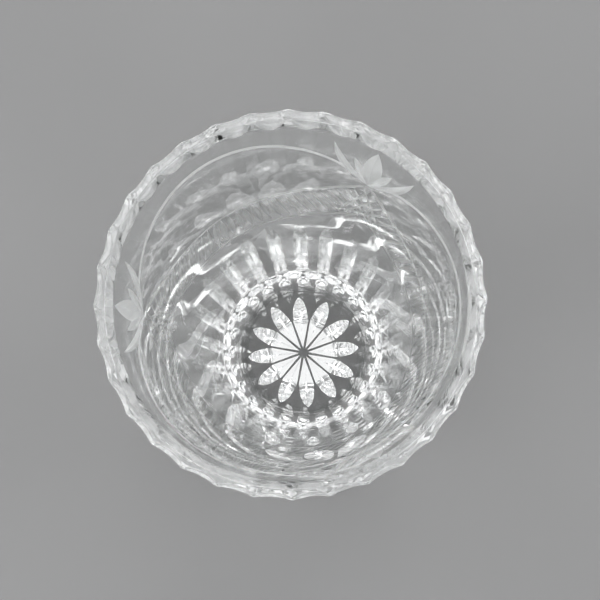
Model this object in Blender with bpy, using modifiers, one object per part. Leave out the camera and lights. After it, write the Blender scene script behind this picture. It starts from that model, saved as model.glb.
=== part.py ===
"""Cut crystal vase: one piece of blown lead crystal, cut on the wheel.

Standalone Blender 4.5 script: blender --background --python part.py
Metres, +Z up. The origin is the centre of the foot, on the surface that the vase stands on.

The blank is turned from one closed profile. The wheel work is then taken out of it. Each cutter
is a wheel's section carried along a path on the wall, and it sinks and rises as the wheel would.
"""

from math import atan2, cos, pi, radians, sin, tan

import bpy
from mathutils import Vector

# Driving dimensions
HEIGHT = 0.200
RIM_RADIUS = 0.070
FOOT_RADIUS = 0.0305
HEEL_HEIGHT = 0.0100
HEEL_RADIUS = 0.0402
RIM_WALL = 0.0048
LOWER_WALL = 0.0070
FLOOR_THICKNESS = 0.0150
FLOOR_RADIUS = 0.0240
LIP_ROUNDING = 0.0012

# The round corner inside, between the floor and the wall: the height where its radius is gauged,
# the angle below level where the arc stops, and the rise over which it blends into the wall.
CORNER_GAUGE = 0.0330
CORNER_END = -10
CORNER_BLEND = 0.0040

# The blank's outside, as (share of the height, radius). A smooth curve runs through these points.
OUTSIDE = (
    (HEEL_HEIGHT / HEIGHT, HEEL_RADIUS),
    (0.120, 0.0418),
    (0.300, 0.0474),
    (0.500, 0.0532),
    (0.700, 0.0578),
    (0.880, 0.0635),
    (1.000, RIM_RADIUS),
)
OUTSIDE_STEPS = 7
INSIDE_STEPS = 4
CORNER_STEPS = 3
HEEL_STEPS = 2
TURN_STEPS = 72
MERGE = 0.00001

# The pattern repeats round the vase: a sprig stands at each repeat, and a swag hangs between two.
REPEATS = 3
REPEAT = 2 * pi / REPEATS
FIRST_SPRIG = radians(60)
NODE_HEIGHT = 0.159

# Rim: hollow thumb cuts that meet in a corner
RIM_CUTS = 32
FIRST_RIM_CUT = radians(6.4)
RIM_CUT_DEPTH = 0.00095
RIM_CUT_LENGTH = 0.0105
RIM_WHEEL_ROUNDING = 0.026
# The wheel is this much wider than the cut, so that two neighbours always meet.
RIM_WHEEL_OVERLAP = 1.2
RIM_CUT_STEPS = 4

# Sprig: (angle off the sprig's axis, height above the node, depth, half angle of the mitre, bend)
CENTRE_LEAF = (0.0, 0.0290, 0.0021, radians(64), 0.0)
SHORT_LEAF = (radians(7.4), 0.0190, 0.0015, radians(57), 0.0)
SPEAR = (radians(15.4), 0.0262, 0.0015, radians(54), -0.12)
LEAVES = (CENTRE_LEAF, SHORT_LEAF, SPEAR)
LEAF_STEPS = 6
# Share of its length by which a pointed cut's path runs on past each end, clear of the wall.
RUN_OUT = 0.12

# An arch springs from just above the nodes.
ARCH_START = 0.0012
ARCH_RISE = 0.0210
ARCH_POWER = 0.8

# Swag: (height at the node's angle, height half way to the next node, power of the curve)
UPPER_SWAG = (NODE_HEIGHT, 0.126, 2.7)
LOWER_SWAG = (0.123, 0.0945, 2.85)
LINE_DEPTH = 0.00065
LINE_HALF_ANGLE = radians(56)
LINE_STEPS = 12
# Share of a repeat by which a line stops short of the node.
LINE_START = 0.006

# Hatching between the two swag lines. It leans most under a node, and is deepest half way between two.
HATCHES = 16
HATCH_SLANT = radians(14)
HATCH_SLANT_POWER = 1.4
HATCH_GAP_ABOVE = 0.0008
HATCH_GAP_BELOW = 0.0025
HATCH_DEPTH_AT_NODE = 0.00042
HATCH_DEPTH_BETWEEN = 0.00090
HATCH_HALF_ANGLE = radians(61)
HATCH_STEPS = 2

# Flutes rise to a point up the lower wall. Below, they cross the heel and notch the foot's edge.
FLUTES = 24
FLUTE_TOP = 0.087
FLUTE_POINT = 0.017
FLUTE_DEPTH = 0.0023
FLUTE_HALF_ANGLE = radians(57)
FLUTE_NOTCH = 0.0020
FLUTE_END = 0.0240
FLUTE_POINT_STEPS = 2
FLUTE_WALL_STEPS = 2
FLUTE_HEEL_STEPS = 2

# Star under the foot: its rays widen side by side from the plain heart to the shoulder, and round
# off at the tips.
STAR_RAYS = 12
FIRST_RAY = radians(5)
STAR_RADIUS = 0.0265
STAR_HEART = 0.0022
STAR_SHOULDER = 0.0147
STAR_DEPTH = 0.0034
STAR_HALF_ANGLE = radians(46)
STAR_BLUNTNESS = 8
STAR_STEPS = 5
# A ray's path runs on past its tip, clear of the foot, by this share of the radius.
STAR_RUN_OUT = 0.04

# A cutter reaches this far out of the glass.
CLEAR = 0.0012

GLASS_COLOUR = (0.90, 0.94, 0.93, 1.0)
GLASS_ROUGHNESS = 0.02
GLASS_IOR = 1.545


def clear_scene():
    for old in list(bpy.data.objects):
        bpy.data.objects.remove(old)


def new_collection(name):
    collection = bpy.data.collections.new(name)
    bpy.context.scene.collection.children.link(collection)
    return collection


def crystal_material():
    material = bpy.data.materials.new("lead_crystal")
    material.use_nodes = True
    shader = material.node_tree.nodes["Principled BSDF"]
    shader.inputs["Base Color"].default_value = GLASS_COLOUR
    shader.inputs["Roughness"].default_value = GLASS_ROUGHNESS
    shader.inputs["Metallic"].default_value = 0.0
    shader.inputs["IOR"].default_value = GLASS_IOR
    shader.inputs["Transmission Weight"].default_value = 1.0
    return material


def outside_radius(z):
    """Radius of the uncut blank at height z: a Catmull-Rom curve through OUTSIDE."""
    share = z / HEIGHT
    last = len(OUTSIDE) - 2
    i = 0
    while i < last and share > OUTSIDE[i + 1][0]:
        i += 1
    (a, r_a), (b, r_b) = OUTSIDE[i], OUTSIDE[i + 1]
    before = OUTSIDE[i - 1] if i > 0 else OUTSIDE[i]
    after = OUTSIDE[i + 2] if i < last else OUTSIDE[i + 1]
    slope_a = (r_b - before[1]) / (b - before[0])
    slope_b = (after[1] - r_a) / (after[0] - a)
    if share < a or share > b:
        return r_a + slope_a * (share - a) if share < a else r_b + slope_b * (share - b)
    t = (share - a) / (b - a)
    t2, t3 = t * t, t * t * t
    return (
        (2 * t3 - 3 * t2 + 1) * r_a
        + (t3 - 2 * t2 + t) * (b - a) * slope_a
        + (3 * t2 - 2 * t3) * r_b
        + (t3 - t2) * (b - a) * slope_b
    )


def wall_lean(z):
    """Angle of the wall from upright at height z, positive where it leans out."""
    step = 0.001
    return atan2(outside_radius(z + step) - outside_radius(z - step), 2 * step)


def inside_radius(z):
    """The wall thins evenly from the floor of the vase to the rim."""
    share = max(0.0, min(1.0, (z - FLOOR_THICKNESS) / (HEIGHT - FLOOR_THICKNESS)))
    return outside_radius(z) - LOWER_WALL - (RIM_WALL - LOWER_WALL) * share


def arc(centre_x, centre_z, radius, start, end, steps):
    """Points of an arc in the profile's plane, from the angle start to the angle end, in degrees."""
    angles = [radians(start + (end - start) * i / steps) for i in range(steps + 1)]
    return [(centre_x + radius * cos(a), centre_z + radius * sin(a)) for a in angles]


def heel_point(share):
    """(x, z) on the rounded heel, a quarter of an ellipse from the wall, share 0, to the foot, share 1."""
    a = share * pi / 2
    return FOOT_RADIUS + (HEEL_RADIUS - FOOT_RADIUS) * cos(a), HEEL_HEIGHT * (1 - sin(a))


def blank_profile():
    """(x, z) points: the floor's middle, up the inside, over the lip, down to the foot's middle."""
    corner = inside_radius(CORNER_GAUGE) - FLOOR_RADIUS
    corner_top = FLOOR_THICKNESS + corner
    wall_start = corner_top + CORNER_BLEND
    lip = HEIGHT - LIP_ROUNDING
    points = [(0.0, FLOOR_THICKNESS)]
    points += arc(FLOOR_RADIUS, corner_top, corner, -90, CORNER_END, CORNER_STEPS)
    for i in range(INSIDE_STEPS + 1):
        z = wall_start + (lip - wall_start) * i / INSIDE_STEPS
        points.append((inside_radius(z), z))
    points += arc(inside_radius(HEIGHT) + LIP_ROUNDING, lip, LIP_ROUNDING, 180, 90, 1)[1:]
    points += arc(RIM_RADIUS - LIP_ROUNDING, lip, LIP_ROUNDING, 90, 0, 2)
    for i in range(1, OUTSIDE_STEPS + 1):
        z = lip + (HEEL_HEIGHT - lip) * i / OUTSIDE_STEPS
        points.append((outside_radius(z), z))
    points += [heel_point(i / HEEL_STEPS) for i in range(1, HEEL_STEPS + 1)]
    points.append((0.0, 0.0))
    return points


def turned(name, profile, collection):
    """A closed turned body from a profile that starts and ends on the axis."""
    mesh = bpy.data.meshes.new(name)
    edges = [(i, i + 1) for i in range(len(profile) - 1)]
    mesh.from_pydata([(x, 0.0, z) for x, z in profile], edges, [])
    body = bpy.data.objects.new(name, mesh)
    collection.objects.link(body)
    screw = body.modifiers.new("turn", "SCREW")
    screw.axis = "Z"
    screw.angle = 2 * pi
    screw.steps = TURN_STEPS
    screw.render_steps = TURN_STEPS
    screw.use_merge_vertices = True
    screw.merge_threshold = MERGE
    screw.use_smooth_shade = True
    return body


def on_wall(angle, z):
    """(point, outward direction) of the uncut wall."""
    radius = outside_radius(z)
    lean = wall_lean(z)
    outward = Vector((cos(angle) * cos(lean), sin(angle) * cos(lean), -sin(lean)))
    return Vector((radius * cos(angle), radius * sin(angle), z)), outward


def on_heel(angle, share):
    """(point, outward direction) of the uncut heel."""
    a = share * pi / 2
    radius, z = heel_point(share)
    level = cos(a) / (HEEL_RADIUS - FOOT_RADIUS)
    outward = Vector((cos(angle) * level, sin(angle) * level, -sin(a) / HEEL_HEIGHT))
    return Vector((radius * cos(angle), radius * sin(angle), z)), outward.normalized()


def mitre(half_angle, depth):
    """Section of a V wheel, as (aside, up) from the bottom of the cut."""
    rise = depth + CLEAR
    return [(-rise * tan(half_angle), rise), (0.0, 0.0), (rise * tan(half_angle), rise)]


def hollow(rounding, depth, reach, steps):
    """Section of a wheel with a round edge, as (aside, up), closed over the glass."""
    rise = depth + CLEAR
    points = [(-reach, rise)]
    for i in range(steps + 1):
        aside = reach * (2 * i / steps - 1)
        points.append((aside, rounding - (rounding**2 - aside**2) ** 0.5))
    return points + [(reach, rise)]


def carried(name, path, section, collection):
    """A closed cutter: the section carried along (point, outward, depth) stations."""
    verts = []
    count = len(section)
    for i, (point, outward, depth) in enumerate(path):
        ahead = path[min(i + 1, len(path) - 1)][0] - path[max(i - 1, 0)][0]
        side = ahead.cross(outward).normalized()
        verts += [point + side * aside + outward * (up - depth) for aside, up in section]
    faces = [tuple(range(count)), tuple(reversed(range(len(verts) - count, len(verts))))]
    for i in range(len(path) - 1):
        for j in range(count):
            k = (j + 1) % count
            a, b = i * count + j, i * count + k
            faces.append((a, a + count, b + count, b))
    mesh = bpy.data.meshes.new(name)
    mesh.from_pydata(verts, [], faces)
    made = bpy.data.objects.new(name, mesh)
    made.hide_render = True
    made.display_type = "WIRE"
    collection.objects.link(made)


def spindle(start, end, depth, steps, bend=0.0):
    """Stations of a pointed cut between two (angle, z) places, deepest half way."""
    path = []
    for i in range(steps + 1):
        s = -RUN_OUT + (1 + 2 * RUN_OUT) * i / steps
        bow = 4 * bend * s * (1 - s)
        angle = start[0] + (end[0] - start[0]) * (s - bow)
        z = start[1] + (end[1] - start[1]) * (s + bow)
        point, outward = on_wall(angle, z)
        path.append((point, outward, depth * (1 - (2 * s - 1) ** 2)))
    return path


def add_rim_cuts(collection):
    half_chord = RIM_RADIUS * sin(pi / RIM_CUTS)
    section = hollow(RIM_WHEEL_ROUNDING, RIM_CUT_DEPTH, RIM_WHEEL_OVERLAP * half_chord, RIM_CUT_STEPS)
    deepest = RIM_CUT_DEPTH + RIM_RADIUS - half_chord / tan(pi / RIM_CUTS)
    for i in range(RIM_CUTS):
        angle = FIRST_RIM_CUT + i * 2 * pi / RIM_CUTS
        path = []
        for step in range(-1, RIM_CUT_STEPS + 2):
            s = step / RIM_CUT_STEPS
            point, outward = on_wall(angle, HEIGHT - RIM_CUT_LENGTH * s)
            path.append((point, outward, deepest * (1 - max(0.0, s) ** 2)))
        carried(f"rim_cut_{i:02d}", path, section, collection)


def add_sprigs(collection):
    for repeat in range(REPEATS):
        axis = FIRST_SPRIG + repeat * REPEAT
        for number, (aside, rise, depth, half_angle, bend) in enumerate(LEAVES):
            for side in (1, -1) if aside else (1,):
                start = (axis, NODE_HEIGHT)
                end = (axis + side * aside, NODE_HEIGHT + rise)
                path = spindle(start, end, depth, LEAF_STEPS, bend)
                name = f"leaf_{repeat}_{number}_{side + 1}"
                carried(name, path, mitre(half_angle, depth), collection)


def swag_height(line, share):
    """Height of a swag line, at a share of the way from its node to half way round to the next."""
    high, low, power = line
    return low + (high - low) * (1 - min(1.0, abs(share))) ** power


def add_lines(collection):
    section = mitre(LINE_HALF_ANGLE, LINE_DEPTH)
    for repeat in range(REPEATS):
        node = FIRST_SPRIG + repeat * REPEAT
        arch, upper, lower = [], [], []
        for i in range(LINE_STEPS + 1):
            across = LINE_START + (1 - 2 * LINE_START) * i / LINE_STEPS
            share = 1 - abs(2 * across - 1)
            angle = node + REPEAT * across
            depth = LINE_DEPTH * (1 if 0 < i < LINE_STEPS else -1)
            rise = ARCH_START + ARCH_RISE * sin(pi * across) ** ARCH_POWER
            arch.append((*on_wall(angle, NODE_HEIGHT + rise), depth))
            upper.append((*on_wall(angle, swag_height(UPPER_SWAG, share)), depth))
            lower.append((*on_wall(angle, swag_height(LOWER_SWAG, share)), depth))
        for name, path in (("arch", arch), ("upper_swag", upper), ("lower_swag", lower)):
            carried(f"{name}_{repeat}", path, section, collection)


def add_hatching(collection):
    """Leaning cuts between the swag lines. They cross in a lattice under each node."""
    for repeat in range(REPEATS):
        node = FIRST_SPRIG + repeat * REPEAT
        for i in range(HATCHES):
            share = (i + 0.5) / HATCHES
            aside = share * REPEAT / 2
            low_aside = aside - HATCH_SLANT * (1 - share**HATCH_SLANT_POWER)
            high = swag_height(UPPER_SWAG, share) - HATCH_GAP_ABOVE
            low = swag_height(LOWER_SWAG, low_aside / (REPEAT / 2)) + HATCH_GAP_BELOW
            depth = HATCH_DEPTH_AT_NODE + (HATCH_DEPTH_BETWEEN - HATCH_DEPTH_AT_NODE) * share
            section = mitre(HATCH_HALF_ANGLE, depth)
            for side in (1, -1):
                start = (node + side * aside, high)
                end = (node + side * low_aside, low)
                path = spindle(start, end, depth, HATCH_STEPS)
                carried(f"hatch_{repeat}_{i:02d}_{side + 1}", path, section, collection)


def flute_path(angle):
    """Down the wall from above the flute's point, round the heel, and out on the foot's underside."""
    path = []
    for step in range(-1, FLUTE_POINT_STEPS):
        s = step / FLUTE_POINT_STEPS
        point, outward = on_wall(angle, FLUTE_TOP - FLUTE_POINT * s)
        path.append((point, outward, FLUTE_DEPTH * (1 - (1 - s) ** 2)))
    wall_top = FLUTE_TOP - FLUTE_POINT
    for step in range(FLUTE_WALL_STEPS + 1):
        z = wall_top + (HEEL_HEIGHT - wall_top) * step / FLUTE_WALL_STEPS
        path.append((*on_wall(angle, z), FLUTE_DEPTH))
    for step in range(1, FLUTE_HEEL_STEPS + 1):
        share = step / FLUTE_HEEL_STEPS
        depth = FLUTE_DEPTH - (FLUTE_DEPTH - FLUTE_NOTCH) * share**2
        path.append((*on_heel(angle, share), depth))
    down = Vector((0.0, 0.0, -1.0))
    run_out = 2 * FLUTE_END - FOOT_RADIUS
    path.append((Vector((cos(angle) * run_out, sin(angle) * run_out, 0.0)), down, -FLUTE_NOTCH))
    return path


def add_flutes(collection):
    section = mitre(FLUTE_HALF_ANGLE, FLUTE_DEPTH)
    for i in range(FLUTES):
        angle = FIRST_SPRIG + i * 2 * pi / FLUTES
        carried(f"flute_{i:02d}", flute_path(angle), section, collection)


def add_star(collection):
    section = mitre(STAR_HALF_ANGLE, STAR_DEPTH)
    down = Vector((0.0, 0.0, -1.0))
    for i in range(STAR_RAYS):
        angle = FIRST_RAY + i * 2 * pi / STAR_RAYS
        along = Vector((cos(angle), sin(angle), 0.0))
        path = []
        for step in range(STAR_STEPS + 1):
            share = (1 + STAR_RUN_OUT) * step / STAR_STEPS
            reach = STAR_RADIUS * share
            widening = min(1.0, (reach - STAR_HEART) / (STAR_SHOULDER - STAR_HEART))
            path.append((along * reach, down, STAR_DEPTH * widening * (1 - share**STAR_BLUNTNESS)))
        carried(f"star_ray_{i:02d}", path, section, collection)


def cut(body, collection):
    difference = body.modifiers.new("wheel_" + collection.name, "BOOLEAN")
    difference.operation = "DIFFERENCE"
    difference.operand_type = "COLLECTION"
    difference.collection = collection
    difference.solver = "MANIFOLD"


def main():
    clear_scene()
    vase = new_collection("cut_crystal_vase")
    body = turned("vase_body", blank_profile(), vase)
    body.data.materials.append(crystal_material())
    wheel_work = (
        ("rim_cuts", add_rim_cuts),
        ("sprigs", add_sprigs),
        ("lines", add_lines),
        ("hatching", add_hatching),
        ("flutes", add_flutes),
        ("star", add_star),
    )
    for name, add in wheel_work:
        cutters = new_collection(name)
        add(cutters)
        cut(body, cutters)


main()
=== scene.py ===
from math import atan2, cos, pi, radians, sin, tan

import bpy
import numpy as np
from mathutils import Matrix, Vector


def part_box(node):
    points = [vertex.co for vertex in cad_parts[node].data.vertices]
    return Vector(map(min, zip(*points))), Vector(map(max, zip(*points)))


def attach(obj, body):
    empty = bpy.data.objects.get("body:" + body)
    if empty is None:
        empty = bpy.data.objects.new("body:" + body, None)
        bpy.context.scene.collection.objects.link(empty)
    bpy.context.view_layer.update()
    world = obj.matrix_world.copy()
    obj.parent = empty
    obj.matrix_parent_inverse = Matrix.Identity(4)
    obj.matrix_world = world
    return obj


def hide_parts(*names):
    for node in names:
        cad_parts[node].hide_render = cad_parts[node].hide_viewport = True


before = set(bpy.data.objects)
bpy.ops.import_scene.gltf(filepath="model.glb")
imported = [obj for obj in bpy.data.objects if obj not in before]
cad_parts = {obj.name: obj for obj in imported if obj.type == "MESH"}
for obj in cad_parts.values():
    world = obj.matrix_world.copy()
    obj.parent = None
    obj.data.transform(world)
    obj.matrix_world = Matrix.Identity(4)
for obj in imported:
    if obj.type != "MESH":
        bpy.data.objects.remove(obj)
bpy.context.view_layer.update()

# ---------------------------------------------------------------- driving dimensions
# Lengths are in metres, and heights are above the foot.
LOW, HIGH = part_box("vase_body")
HEIGHT = HIGH[2] - LOW[2]
# The rim's corners stand between the two axes, so the box is a touch narrower than the rim.
RIM_RADIUS = 0.070
FOOT_RADIUS = 0.0305
HEEL_HEIGHT = 0.0100
HEEL_RADIUS = 0.0402
RIM_WALL = 0.0048
LOWER_WALL = 0.0070
FLOOR_THICKNESS = 0.0150
FLOOR_RADIUS = 0.0240
LIP_ROUNDING = 0.0012
# Outside of the uncut blank: (share of the height, radius)
OUTSIDE = (
    (HEEL_HEIGHT / HEIGHT, HEEL_RADIUS),
    (0.120, 0.0418),
    (0.300, 0.0474),
    (0.500, 0.0532),
    (0.700, 0.0578),
    (0.880, 0.0635),
    (1.000, RIM_RADIUS),
)
# The round corner inside at the floor reaches out to the wall at this height, ends at this angle
# in degrees, and is this far below the start of the plain wall.
CORNER_GAUGE = 2.2 * FLOOR_THICKNESS
CORNER_END = -10
CORNER_BLEND = 0.004
TURN_STEPS = 288
OUTSIDE_STEPS = 44
INSIDE_STEPS = 26
CORNER_STEPS = 12
LIP_STEPS = 6
HEEL_STEPS = 14
FLAT_STEPS = 4

# The decoration repeats round the vase. A node is the point where a sprig and its swags meet.
REPEATS = 3
REPEAT = 2 * pi / REPEATS
FIRST_SPRIG = radians(60)
NODE_HEIGHT = 0.159

# Rim cuts stand side by side round the outside of the lip.
RIM_CUTS = 32
RIM_CUT_PITCH = 2 * pi / RIM_CUTS
FIRST_RIM_CUT = radians(6.4)
RIM_CUT_DEPTH = 0.00095
RIM_CUT_LENGTH = 0.0105
RIM_WHEEL_ROUNDING = 0.026
# The wheel is this much wider than the cut, so that two neighbours always meet.
RIM_WHEEL_OVERLAP = 1.2
RIM_WHEEL_STEPS = 14
RIM_CUT_STEPS = 16
RIM_CUT_RUN_OUT_STEPS = 4

# Sprig: (angle off the sprig's axis, height above the node, depth, half angle of the mitre, bend)
CENTRE_LEAF = (0.0, 0.0290, 0.0021, radians(64), 0.0)
SHORT_LEAF = (radians(7.4), 0.0190, 0.0015, radians(57), 0.0)
SPEAR = (radians(15.4), 0.0262, 0.0015, radians(54), -0.12)
LEAVES = (CENTRE_LEAF, SHORT_LEAF, SPEAR)
LEAF_STEPS = 24
# Share of its length by which a pointed cut's path runs on past each end, clear of the wall.
RUN_OUT = 0.12

# An arch springs from just above the nodes.
ARCH_START = 0.0012
ARCH_RISE = 0.0210
ARCH_POWER = 0.8

# Swag: (height at the node's angle, height half way to the next node, power of the curve)
UPPER_SWAG = (NODE_HEIGHT, 0.126, 2.7)
LOWER_SWAG = (0.123, 0.0945, 2.85)
LINE_DEPTH = 0.00065
LINE_HALF_ANGLE = radians(56)
LINE_STEPS = 72
# Share of a repeat by which a line stops short of the node.
LINE_START = 0.006

# Hatching between the two swag lines. It leans most under a node, and is deepest half way between two.
HATCHES = 16
HATCH_SLANT = radians(14)
HATCH_SLANT_POWER = 1.4
HATCH_GAP_BELOW = 0.0025
HATCH_GAP_ABOVE = HATCH_GAP_BELOW / 3
HATCH_DEPTH_AT_NODE = 0.00042
HATCH_DEPTH_BETWEEN = 0.00090
HATCH_HALF_ANGLE = radians(61)
HATCH_STEPS = 12

# Flutes rise to a point up the lower wall. Below, they cross the heel and notch the foot's edge.
FLUTES = 24
FLUTE_TOP = 0.087
FLUTE_POINT = 0.017
FLUTE_DEPTH = 0.0023
FLUTE_HALF_ANGLE = radians(57)
FLUTE_NOTCH = 0.0020
FLUTE_END = 0.0240
FLUTE_WALL_STEPS = 32
FLUTE_HEEL_STEPS = 10
FLUTE_FOOT_STEPS = 4
# Steps by which a flute's path runs on past its point and past its end, clear of the glass.
FLUTE_RUN_OUT_STEPS = (3, 1)

# Star under the foot: its rays widen side by side from the plain heart to the shoulder, and round
# off at the tips.
STAR_RAYS = 12
FIRST_RAY = radians(5)
STAR_RADIUS = 0.0265
STAR_HEART = 0.0022
STAR_SHOULDER = 0.0147
STAR_DEPTH = 0.0034
STAR_HALF_ANGLE = radians(46)
STAR_BLUNTNESS = 8
STAR_STEPS = 24
# A ray's path runs on past its tip, clear of the foot, to this share of the radius.
STAR_REACH = 1.04

# A cutter reaches this far out of the glass.
CLEAR = 0.0012

# Shading: faces of a cut that meet at less than CREASE are smooth across their edge, and faces
# closer than SAME_PLANE count as one flat facet.
CREASE = radians(24)
SAME_PLANE = radians(0.1)
# A point takes its normal from the nearest part of the profile. A part that faces away from the
# point's face, so with less than this cosine, counts as this much farther off.
LEAST_FACING = 0.2
OTHER_SIDE = 0.01
TINY = 1e-9
TINIEST = 1e-12

GLASS_COLOUR = (0.985, 0.994, 0.990, 1.0)
GLASS_IOR = 1.545
WAVE_SCALE = 55.0
WAVE_DETAIL = 2.0
WAVE_HEIGHT = 0.0004

scene = bpy.context.scene


# ---------------------------------------------------------------- the blank
def outside_radius(z):
    """Radius of the uncut blank at height z: a Catmull-Rom curve through OUTSIDE."""
    share = z / HEIGHT
    last = len(OUTSIDE) - 2
    i = 0
    while i < last and share > OUTSIDE[i + 1][0]:
        i += 1
    (a, r_a), (b, r_b) = OUTSIDE[i], OUTSIDE[i + 1]
    before = OUTSIDE[i - 1] if i > 0 else OUTSIDE[i]
    after = OUTSIDE[i + 2] if i < last else OUTSIDE[i + 1]
    slope_a = (r_b - before[1]) / (b - before[0])
    slope_b = (after[1] - r_a) / (after[0] - a)
    if share < a or share > b:
        return r_a + slope_a * (share - a) if share < a else r_b + slope_b * (share - b)
    t = (share - a) / (b - a)
    t2, t3 = t * t, t * t * t
    return (
        (2 * t3 - 3 * t2 + 1) * r_a
        + (t3 - 2 * t2 + t) * (b - a) * slope_a
        + (3 * t2 - 2 * t3) * r_b
        + (t3 - t2) * (b - a) * slope_b
    )


def wall_lean(z):
    """Angle of the wall from upright at height z, positive where it leans out."""
    step = 0.001
    return atan2(outside_radius(z + step) - outside_radius(z - step), 2 * step)


def inside_radius(z):
    """The wall thins evenly from the floor of the vase to the rim."""
    share = max(0.0, min(1.0, (z - FLOOR_THICKNESS) / (HEIGHT - FLOOR_THICKNESS)))
    return outside_radius(z) - LOWER_WALL - (RIM_WALL - LOWER_WALL) * share


def heel_point(share):
    """(radius, z) on the rounded heel, from the wall, share 0, to the foot's edge, share 1."""
    a = share * pi / 2
    return FOOT_RADIUS + (HEEL_RADIUS - FOOT_RADIUS) * cos(a), HEEL_HEIGHT * (1 - sin(a))


def arc(centre_radius, centre_z, rounding, start, end, steps):
    """(radius, z) points of an arc, from the angle start to the angle end, in degrees."""
    angles = [radians(start + (end - start) * i / steps) for i in range(steps + 1)]
    return [(centre_radius + rounding * cos(a), centre_z + rounding * sin(a)) for a in angles]


def blank_profile():
    """(radius, z) from the floor's middle, up the inside, over the lip and down to the foot's middle."""
    corner = inside_radius(CORNER_GAUGE) - FLOOR_RADIUS
    corner_top = FLOOR_THICKNESS + corner
    lip = HEIGHT - LIP_ROUNDING
    points = [(FLOOR_RADIUS * i / FLAT_STEPS, FLOOR_THICKNESS) for i in range(FLAT_STEPS)]
    points += arc(FLOOR_RADIUS, corner_top, corner, -90, CORNER_END, CORNER_STEPS)
    for i in range(INSIDE_STEPS + 1):
        z = corner_top + CORNER_BLEND + (lip - corner_top - CORNER_BLEND) * i / INSIDE_STEPS
        points.append((inside_radius(z), z))
    points += arc(inside_radius(HEIGHT) + LIP_ROUNDING, lip, LIP_ROUNDING, 180, 90, LIP_STEPS)[1:]
    points += arc(RIM_RADIUS - LIP_ROUNDING, lip, LIP_ROUNDING, 90, 0, LIP_STEPS)
    for i in range(1, OUTSIDE_STEPS + 1):
        z = lip + (HEEL_HEIGHT - lip) * i / OUTSIDE_STEPS
        points.append((outside_radius(z), z))
    points += [heel_point(i / HEEL_STEPS) for i in range(1, HEEL_STEPS + 1)]
    points += [(FOOT_RADIUS * (1 - i / FLAT_STEPS), 0.0) for i in range(1, FLAT_STEPS + 1)]
    return points


def turned(name, profile, steps):
    """A closed turned mesh with one point on the axis at each end of the profile."""
    verts, rings = [], []
    for radius, z in profile:
        if radius < TINY:
            rings.append([len(verts)])
            verts.append((0.0, 0.0, z))
            continue
        rings.append(list(range(len(verts), len(verts) + steps)))
        for i in range(steps):
            a = 2 * pi * i / steps
            verts.append((radius * cos(a), radius * sin(a), z))
    faces = []
    for lower, upper in zip(rings, rings[1:]):
        for i in range(steps):
            j = (i + 1) % steps
            if len(lower) == 1:
                faces.append((lower[0], upper[i], upper[j]))
            elif len(upper) == 1:
                faces.append((lower[i], upper[0], lower[j]))
            else:
                faces.append((lower[i], upper[i], upper[j], lower[j]))
    mesh = bpy.data.meshes.new(name)
    mesh.from_pydata(verts, [], faces)
    return bpy.data.objects.new(name, mesh)


# ---------------------------------------------------------------- wheel work
def on_wall(angle, z):
    """(point, outward direction) of the uncut wall."""
    radius = outside_radius(z)
    lean = wall_lean(z)
    outward = Vector((cos(angle) * cos(lean), sin(angle) * cos(lean), -sin(lean)))
    return Vector((radius * cos(angle), radius * sin(angle), z)), outward


def on_heel(angle, share):
    """(point, outward direction) of the uncut heel."""
    a = share * pi / 2
    radius, z = heel_point(share)
    level = cos(a) / (HEEL_RADIUS - FOOT_RADIUS)
    outward = Vector((cos(angle) * level, sin(angle) * level, -sin(a) / HEEL_HEIGHT))
    return Vector((radius * cos(angle), radius * sin(angle), z)), outward.normalized()


def mitre(half_angle, depth):
    """Section of a V wheel, as (aside, up) from the bottom of the cut."""
    rise = depth + CLEAR
    return [(-rise * tan(half_angle), rise), (0.0, 0.0), (rise * tan(half_angle), rise)]


def hollow(rounding, depth, reach, steps):
    """Section of a wheel with a round edge, as (aside, up), closed over the glass."""
    rise = depth + CLEAR
    points = [(-reach, rise)]
    for i in range(steps + 1):
        aside = reach * (2 * i / steps - 1)
        points.append((aside, rounding - (rounding**2 - aside**2) ** 0.5))
    return points + [(reach, rise)]


class Cutters:
    """Many closed cutters gathered in one collection."""

    def __init__(self, name, material):
        self.collection = bpy.data.collections.new(name)
        self.material = material

    def carry(self, path, section):
        """Carry a section along a path of (point, outward direction, depth)."""
        verts = []
        count = len(section)
        for i, (point, outward, depth) in enumerate(path):
            ahead = path[min(i + 1, len(path) - 1)][0] - path[max(i - 1, 0)][0]
            side = ahead.cross(outward).normalized()
            verts += [point + side * aside + outward * (up - depth) for aside, up in section]
        faces = [tuple(range(count)), tuple(reversed(range(len(verts) - count, len(verts))))]
        for i in range(len(path) - 1):
            for j in range(count):
                k = (j + 1) % count
                a, b = i * count + j, i * count + k
                faces.append((a, a + count, b + count, b))
        mesh = bpy.data.meshes.new("cutter")
        mesh.from_pydata(verts, [], faces)
        mesh.materials.append(self.material)
        self.collection.objects.link(bpy.data.objects.new("cutter", mesh))


def spindle(start, end, depth, steps, bend=0.0):
    """Path of a pointed cut between two (angle, z) places on the wall, deepest half way."""
    path = []
    for i in range(steps + 1):
        s = -RUN_OUT + (1 + 2 * RUN_OUT) * i / steps
        bow = 4 * bend * s * (1 - s)
        angle = start[0] + (end[0] - start[0]) * (s - bow)
        z = start[1] + (end[1] - start[1]) * (s + bow)
        path.append((*on_wall(angle, z), depth * (1 - (2 * s - 1) ** 2)))
    return path


def swag_height(line, share):
    """Height of a swag line at a share of the way from the node, 0, to half way to the next, 1."""
    high, low, power = line
    return low + (high - low) * (1 - min(1.0, abs(share))) ** power


def rim_cut_deepest():
    """Depth at the rim's edge, measured from the round blank, so that the corners lie on it."""
    half_chord = RIM_RADIUS * sin(RIM_CUT_PITCH / 2)
    return RIM_CUT_DEPTH + RIM_RADIUS - half_chord / tan(RIM_CUT_PITCH / 2)


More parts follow.
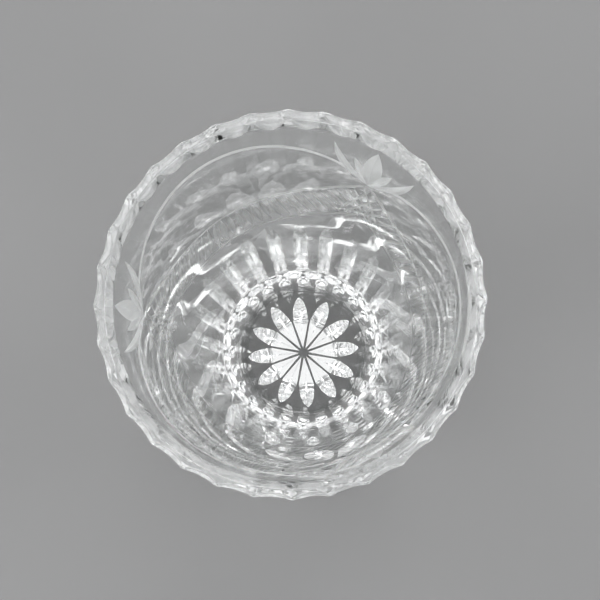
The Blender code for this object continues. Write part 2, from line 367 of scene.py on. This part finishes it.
def rim_cuts():
    cutters = Cutters("rim_cuts", SATIN)
    half_chord = RIM_RADIUS * sin(RIM_CUT_PITCH / 2)
    section = hollow(RIM_WHEEL_ROUNDING, RIM_CUT_DEPTH, RIM_WHEEL_OVERLAP * half_chord, RIM_WHEEL_STEPS)
    deepest = rim_cut_deepest()
    for i in range(RIM_CUTS):
        angle = FIRST_RIM_CUT + i * 2 * pi / RIM_CUTS
        path = []
        for step in range(-RIM_CUT_RUN_OUT_STEPS, RIM_CUT_STEPS + RIM_CUT_RUN_OUT_STEPS + 1):
            s = step / RIM_CUT_STEPS
            place = on_wall(angle, HEIGHT - RIM_CUT_LENGTH * s)
            path.append((*place, deepest * (1 - max(0.0, s) ** 2)))
        cutters.carry(path, section)
    return cutters.collection


def sprigs():
    cutters = Cutters("sprigs", FROSTED)
    for repeat in range(REPEATS):
        node = FIRST_SPRIG + repeat * REPEAT
        for aside, rise, depth, half_angle, bend in LEAVES:
            for side in (1, -1) if aside else (1,):
                end = (node + side * aside, NODE_HEIGHT + rise)
                path = spindle((node, NODE_HEIGHT), end, depth, LEAF_STEPS, bend)
                cutters.carry(path, mitre(half_angle, depth))
    return cutters.collection


def lines():
    """Fine lines from node to node: an arch above, and two swags below."""
    cutters = Cutters("lines", FROSTED)
    section = mitre(LINE_HALF_ANGLE, LINE_DEPTH)
    for repeat in range(REPEATS):
        node = FIRST_SPRIG + repeat * REPEAT
        arch, upper, lower = [], [], []
        for i in range(LINE_STEPS + 1):
            across = LINE_START + (1 - 2 * LINE_START) * i / LINE_STEPS
            share = 1 - abs(2 * across - 1)
            angle = node + REPEAT * across
            # A line starts and ends clear of the wall.
            depth = LINE_DEPTH * (1 if 0 < i < LINE_STEPS else -1)
            arch_height = NODE_HEIGHT + ARCH_START + ARCH_RISE * sin(pi * across) ** ARCH_POWER
            arch.append((*on_wall(angle, arch_height), depth))
            upper.append((*on_wall(angle, swag_height(UPPER_SWAG, share)), depth))
            lower.append((*on_wall(angle, swag_height(LOWER_SWAG, share)), depth))
        for path in (arch, upper, lower):
            cutters.carry(path, section)
    return cutters.collection


def hatching():
    """Pointed cuts between the swags. Under a node those of two neighbouring swags cross."""
    cutters = Cutters("hatching", FROSTED)
    for repeat in range(REPEATS):
        node = FIRST_SPRIG + repeat * REPEAT
        for i in range(HATCHES):
            share = (i + 0.5) / HATCHES
            aside = share * REPEAT / 2
            low_aside = aside - HATCH_SLANT * (1 - share**HATCH_SLANT_POWER)
            high = swag_height(UPPER_SWAG, share) - HATCH_GAP_ABOVE
            low = swag_height(LOWER_SWAG, low_aside / (REPEAT / 2)) + HATCH_GAP_BELOW
            depth = HATCH_DEPTH_AT_NODE + (HATCH_DEPTH_BETWEEN - HATCH_DEPTH_AT_NODE) * share
            for side in (1, -1):
                start = (node + side * aside, high)
                end = (node + side * low_aside, low)
                cutters.carry(spindle(start, end, depth, HATCH_STEPS), mitre(HATCH_HALF_ANGLE, depth))
    return cutters.collection


def flute_path(angle):
    """From the point on the wall, down over the heel and in under the foot."""
    before, after = FLUTE_RUN_OUT_STEPS
    path = []
    for step in range(-before, FLUTE_WALL_STEPS + 1):
        z = FLUTE_TOP + (HEEL_HEIGHT - FLUTE_TOP) * step / FLUTE_WALL_STEPS
        point = min(1.0, (FLUTE_TOP - z) / FLUTE_POINT)
        path.append((*on_wall(angle, z), FLUTE_DEPTH * (1 - (1 - point) ** 2)))
    for step in range(1, FLUTE_HEEL_STEPS + 1):
        share = step / FLUTE_HEEL_STEPS
        path.append((*on_heel(angle, share), FLUTE_DEPTH - (FLUTE_DEPTH - FLUTE_NOTCH) * share**2))
    along = Vector((cos(angle), sin(angle), 0.0))
    for step in range(1, FLUTE_FOOT_STEPS + after + 1):
        share = step / FLUTE_FOOT_STEPS
        reach = FOOT_RADIUS + (FLUTE_END - FOOT_RADIUS) * share
        path.append((along * reach, Vector((0.0, 0.0, -1.0)), FLUTE_NOTCH * (1 - share)))
    return path


def flutes():
    cutters = Cutters("flutes", HAZY)
    section = mitre(FLUTE_HALF_ANGLE, FLUTE_DEPTH)
    for i in range(FLUTES):
        cutters.carry(flute_path(FIRST_SPRIG + i * 2 * pi / FLUTES), section)
    return cutters.collection


def star():
    cutters = Cutters("star", POLISHED)
    section = mitre(STAR_HALF_ANGLE, STAR_DEPTH)
    down = Vector((0.0, 0.0, -1.0))
    for i in range(STAR_RAYS):
        angle = FIRST_RAY + i * 2 * pi / STAR_RAYS
        along = Vector((cos(angle), sin(angle), 0.0))
        path = []
        for step in range(1, STAR_STEPS + 1):
            reach = STAR_RADIUS * STAR_REACH * step / STAR_STEPS
            widening = min(1.0, (reach - STAR_HEART) / (STAR_SHOULDER - STAR_HEART))
            depth = STAR_DEPTH * widening * (1 - (reach / STAR_RADIUS) ** STAR_BLUNTNESS)
            path.append((along * reach, down, depth))
        cutters.carry(path, section)
    return cutters.collection


def cut(body, collection):
    difference = body.modifiers.new(collection.name, "BOOLEAN")
    difference.operation = "DIFFERENCE"
    difference.operand_type = "COLLECTION"
    difference.collection = collection
    difference.solver = "MANIFOLD"
    difference.material_mode = "TRANSFER"


# ---------------------------------------------------------------- shading normals
def profile_normals(profile):
    points = np.array(profile)
    ahead = np.diff(points, axis=0)
    ahead /= np.linalg.norm(ahead, axis=1)[:, None]
    side = np.stack([-ahead[:, 1], ahead[:, 0]], axis=1)
    normals = np.vstack([side[:1], side[:-1] + side[1:], side[-1:]])
    normals /= np.linalg.norm(normals, axis=1)[:, None]
    return points, normals


def turned_normals(where, face_normals, profile):
    """Exact normals of the turned blank at some points on it, whose faces have these normals."""
    points, normals = profile_normals(profile)
    flat = np.stack([np.hypot(where[:, 0], where[:, 1]), where[:, 2]], axis=1)
    radius = np.maximum(flat[:, 0], TINY)
    radial = (face_normals[:, 0] * where[:, 0] + face_normals[:, 1] * where[:, 1]) / radius
    facing = np.stack([radial, face_normals[:, 2]], axis=1)
    best = np.full(len(flat), np.inf)
    found = np.zeros((len(flat), 2))
    for i in range(len(points) - 1):
        span = points[i + 1] - points[i]
        t = np.clip(((flat - points[i]) @ span) / (span @ span), 0, 1)
        gap = np.linalg.norm(flat - points[i] - t[:, None] * span, axis=1)
        normal = normals[i] * (1 - t[:, None]) + normals[i + 1] * t[:, None]
        gap = gap + OTHER_SIDE * ((normal * facing).sum(axis=1) < LEAST_FACING)
        closer = gap < best
        best[closer] = gap[closer]
        found[closer] = normal[closer]
    found /= np.linalg.norm(found, axis=1)[:, None]
    around = where[:, :2] / radius[:, None]
    return np.stack([found[:, 0] * around[:, 0], found[:, 0] * around[:, 1], found[:, 1]], axis=1)


def rim_cut_normal(where, face_centre):
    """The true normal of the rim cut that a face is in. It is round across, and dishes along the wall."""
    number = round((atan2(face_centre[1], face_centre[0]) - FIRST_RIM_CUT) / RIM_CUT_PITCH)
    angle = FIRST_RIM_CUT + number * RIM_CUT_PITCH
    side = Vector((-sin(angle), cos(angle), 0.0))
    _, outward = on_wall(angle, where.z)
    down = outward.cross(side)
    down = down if down.z < 0 else -down
    aside = where.dot(side)
    s = max(0.0, (HEIGHT - where.z) / RIM_CUT_LENGTH)
    across = aside / (RIM_WHEEL_ROUNDING**2 - aside**2) ** 0.5
    along = 2 * rim_cut_deepest() * s / RIM_CUT_LENGTH
    return (outward - side * across - down * along).normalized()


def facet_normals(directions):
    """(sums, lengths) of the normals of the facets that are smooth with each face round one point."""
    cosines = directions @ directions.T
    weights = 1 / (cosines > cos(SAME_PLANE)).sum(axis=1)
    sums = ((cosines > cos(CREASE)) * weights) @ directions
    return sums, np.linalg.norm(sums, axis=1)


def read(items, key, width=1, kind=float):
    """One property of all the vertices, loops or faces of a mesh, as an array."""
    values = np.empty(len(items) * width, kind)
    items.foreach_get(key, values)
    return values.reshape(-1, width) if width > 1 else values


def set_normals(mesh, profile):
    """Exact normals on the turned surface and in the rim cuts. Other cuts are smooth along their length."""
    positions = read(mesh.vertices, "co", 3)
    loop_vertex = read(mesh.loops, "vertex_index", kind=np.int64)
    totals = read(mesh.polygons, "loop_total", kind=np.int64)
    marks = read(mesh.polygons, "material_index", kind=np.int64)
    face_normals = read(mesh.polygons, "normal", 3)
    centres = read(mesh.polygons, "center", 3)
    loop_face = np.repeat(np.arange(len(totals)), totals)
    loop_mark = marks[loop_face]
    result = face_normals[loop_face]

    wall = loop_mark == mesh.materials.find(TURNED.name)
    result[wall] = turned_normals(positions[loop_vertex[wall]], face_normals[loop_face[wall]], profile)

    cut_loops = np.nonzero(~wall)[0]
    cut_loops = cut_loops[np.argsort(loop_vertex[cut_loops], kind="stable")]
    ends = np.nonzero(np.diff(loop_vertex[cut_loops]))[0] + 1
    for group in np.split(cut_loops, ends):
        sums, lengths = facet_normals(face_normals[loop_face[group]])
        good = lengths > TINIEST
        result[group[good]] = sums[good] / lengths[good][:, None]

    for loop in np.nonzero(loop_mark == mesh.materials.find(SATIN.name))[0]:
        result[loop] = rim_cut_normal(Vector(positions[loop_vertex[loop]]), centres[loop_face[loop]])
    mesh.polygons.foreach_set("use_smooth", np.ones(len(totals), bool))
    mesh.normals_split_custom_set(result)


# ---------------------------------------------------------------- materials
def node_material(name):
    material = bpy.data.materials.new(name)
    material.use_nodes = True
    tree = material.node_tree
    return material, tree, tree.nodes["Principled BSDF"]


def crystal(name, waviness, smoothest, roughest, transmission=1.0):
    """Clear crystal. A fine slow noise stirs its surface and its polish."""
    material, tree, shader = node_material(name)
    shader.inputs["Base Color"].default_value = GLASS_COLOUR
    shader.inputs["IOR"].default_value = GLASS_IOR
    shader.inputs["Transmission Weight"].default_value = transmission
    coordinates = tree.nodes.new("ShaderNodeTexCoord")
    noise = tree.nodes.new("ShaderNodeTexNoise")
    noise.inputs["Scale"].default_value = WAVE_SCALE
    noise.inputs["Detail"].default_value = WAVE_DETAIL
    spread = tree.nodes.new("ShaderNodeMapRange")
    spread.inputs["To Min"].default_value = smoothest
    spread.inputs["To Max"].default_value = roughest
    bump = tree.nodes.new("ShaderNodeBump")
    bump.inputs["Strength"].default_value = waviness
    bump.inputs["Distance"].default_value = WAVE_HEIGHT
    link = tree.links.new
    link(coordinates.outputs["Object"], noise.inputs["Vector"])
    link(noise.outputs["Fac"], spread.inputs["Value"])
    link(spread.outputs["Result"], shader.inputs["Roughness"])
    link(noise.outputs["Fac"], bump.inputs["Height"])
    link(bump.outputs["Normal"], shader.inputs["Normal"])
    return material


TURNED = crystal("crystal_turned", waviness=0.05, smoothest=0.0, roughest=0.02)
SATIN = crystal("crystal_rim_cut", waviness=0.03, smoothest=0.06, roughest=0.15)
POLISHED = crystal("crystal_polished_cut", waviness=0.03, smoothest=0.01, roughest=0.05)
HAZY = crystal("crystal_flute_cut", waviness=0.05, smoothest=0.05, roughest=0.16)
# Fine cuts are left frosted by the wheel, so they scatter light and look white.
FROSTED = crystal("crystal_fine_cut", waviness=0.08, smoothest=0.06, roughest=0.22, transmission=0.34)


# ---------------------------------------------------------------- the vase
def build_vase():
    profile = blank_profile()
    body = turned("crystal_vase", profile, TURN_STEPS)
    body.data.materials.append(TURNED)
    scene.collection.objects.link(body)
    for collection in (rim_cuts(), sprigs(), lines(), hatching(), flutes(), star()):
        cut(body, collection)
    graph = bpy.context.evaluated_depsgraph_get()
    mesh = bpy.data.meshes.new_from_object(body.evaluated_get(graph), depsgraph=graph)
    body.modifiers.clear()
    body.data = mesh
    mesh.name = "crystal_vase"
    set_normals(mesh, profile)
    return body


vase = build_vase()
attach(vase, "root")
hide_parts("vase_body")


# ---------------------------------------------------------------- stage
STAGE_RADIUS = 1.8
STAGE_STEPS = 128
STAGE_DROP = 0.0003
STAGE_ROUGHNESS = 0.7
# Painted light: the paper is painted grey under the softboxes and painted paler between these distances, to
# stand in for the light that falls off there.
STAGE_NEAR, STAGE_FAR = 0.8, 1.8
STAGE_GREY, STAGE_PAINTED_PALE = 0.20, 0.36


def paper_with_painted_falloff():
    material, tree, shader = node_material("studio_paper_painted_falloff")
    shader.inputs["Roughness"].default_value = STAGE_ROUGHNESS
    coordinates = tree.nodes.new("ShaderNodeTexCoord")
    distance = tree.nodes.new("ShaderNodeVectorMath")
    distance.operation = "LENGTH"
    # Painted light: the paper's colour pales with distance from the middle, to make up for the light that
    # falls off farther out.
    painted_paling = tree.nodes.new("ShaderNodeMapRange")
    painted_paling.interpolation_type = "SMOOTHSTEP"
    painted_paling.inputs["From Min"].default_value = STAGE_NEAR
    painted_paling.inputs["From Max"].default_value = STAGE_FAR
    painted_paling.inputs["To Min"].default_value = STAGE_GREY
    painted_paling.inputs["To Max"].default_value = STAGE_PAINTED_PALE
    tree.links.new(coordinates.outputs["Object"], distance.inputs[0])
    tree.links.new(distance.outputs["Value"], painted_paling.inputs["Value"])
    tree.links.new(painted_paling.outputs["Result"], shader.inputs["Base Color"])
    return material


def disc(name, radius, steps):
    mesh = bpy.data.meshes.new(name)
    turns = [2 * pi * i / steps for i in range(steps)]
    mesh.from_pydata([(radius * cos(a), radius * sin(a), 0.0) for a in turns], [], [tuple(range(steps))])
    made = bpy.data.objects.new(name, mesh)
    scene.collection.objects.link(made)
    return made


floor = disc("studio_floor", STAGE_RADIUS, STAGE_STEPS)
floor.location.z = LOW[2] - STAGE_DROP
floor.data.materials.append(paper_with_painted_falloff())


# ---------------------------------------------------------------- light
def area_light(name, place, aim, size, brightness):
    """A rectangle that sends out light in proportion to its area."""
    light = bpy.data.lights.new(name, "AREA")
    light.shape = "RECTANGLE"
    light.size, light.size_y = size
    light.energy = brightness * pi * size[0] * size[1]
    made = bpy.data.objects.new(name, light)
    made.location = place
    made.rotation_euler = (Vector(aim) - Vector(place)).to_track_quat("-Z", "Y").to_euler()
    scene.collection.objects.link(made)
    return made


# Softboxes all round light up the flutes and the heel. They stand high enough that a low view does
# not see them through the glass. (turn round the vase in degrees, height, width, height of the box,
# brightness)
SOFTBOXES = (
    (200, 0.80, 0.85, 0.66, 4.8),
    (138, 0.76, 0.50, 0.60, 4.2),
    (75, 0.80, 0.70, 0.66, 4.8),
    (12, 0.80, 0.65, 0.66, 4.6),
    (-48, 0.76, 0.50, 0.60, 4.2),
    (-104, 0.76, 0.50, 0.60, 4.4),
)
SOFTBOX_REACH = 1.1
SOFTBOX_AIM = (0, 0, 0.12)
for number, (turn, height, wide, tall, brightness) in enumerate(SOFTBOXES):
    place = (SOFTBOX_REACH * cos(radians(turn)), SOFTBOX_REACH * sin(radians(turn)), height)
    softbox = area_light(f"softbox_{number}", place, SOFTBOX_AIM, (wide, tall), brightness)
    softbox.visible_camera = False

# The star's facets send this one back up to the lens, so its brightness sets their tone.
OVERHEAD_PLACE = (-0.5, -0.2, 2.2)
OVERHEAD_SIZE = (1.8, 1.8)
OVERHEAD_BRIGHTNESS = 0.65
area_light("overhead", OVERHEAD_PLACE, (0, 0, 0), OVERHEAD_SIZE, OVERHEAD_BRIGHTNESS)

# Studio walls: (sine of the height above the horizon, brightness). Low down they match the floor.
WALLS = ((0.0, 0.30), (0.16, 0.31), (0.27, 0.70), (0.60, 0.60), (0.82, 0.3))
WALL_TINT = (1.0, 1.01, 1.03)
world = bpy.data.worlds.new("studio")
scene.world = world
world.use_nodes = True
sky = world.node_tree
background = sky.nodes["Background"]
direction = sky.nodes.new("ShaderNodeTexCoord")
split = sky.nodes.new("ShaderNodeSeparateXYZ")
ramp = sky.nodes.new("ShaderNodeValToRGB")
while len(ramp.color_ramp.elements) < len(WALLS):
    ramp.color_ramp.elements.new(1.0)
for element, (position, brightness) in zip(ramp.color_ramp.elements, WALLS):
    element.position = position
    element.color = (*(brightness * tint for tint in WALL_TINT), 1.0)
sky.links.new(direction.outputs["Generated"], split.inputs["Vector"])
sky.links.new(split.outputs["Z"], ramp.inputs["Fac"])
sky.links.new(ramp.outputs["Color"], background.inputs["Color"])

# ---------------------------------------------------------------- camera
# It looks down into the vase, tilted a little off the axis. The rim's centre is just left of the middle.
RIM_TO_LENS = 0.600
TILT = radians(7.25)
TURN = radians(15)
LENS = 101.9
SENSOR = 36.0
AIM_OFF_CENTRE = Vector((0.0036, 0.0006, 0.0))
rim_centre = Vector((0.0, 0.0, HEIGHT))
away = Vector((sin(TURN) * sin(TILT), -cos(TURN) * sin(TILT), cos(TILT)))
camera = bpy.data.objects.new("camera", bpy.data.cameras.new("camera"))
camera.data.lens = LENS
camera.data.sensor_width = SENSOR
camera.location = rim_centre + away * RIM_TO_LENS
back = (camera.location - rim_centre - AIM_OFF_CENTRE).normalized()
right = Vector((0, 1, 0)).cross(back).normalized()
up = back.cross(right)
camera.rotation_euler = Matrix((right, up, back)).transposed().to_euler()
scene.collection.objects.link(camera)
scene.camera = camera

# Light passes through many faces of the cut glass before it leaves.
scene.cycles.max_bounces = 40
scene.cycles.transmission_bounces = 40
scene.cycles.glossy_bounces = 24
scene.cycles.transparent_max_bounces = 24
scene.view_settings.view_transform = "Standard"
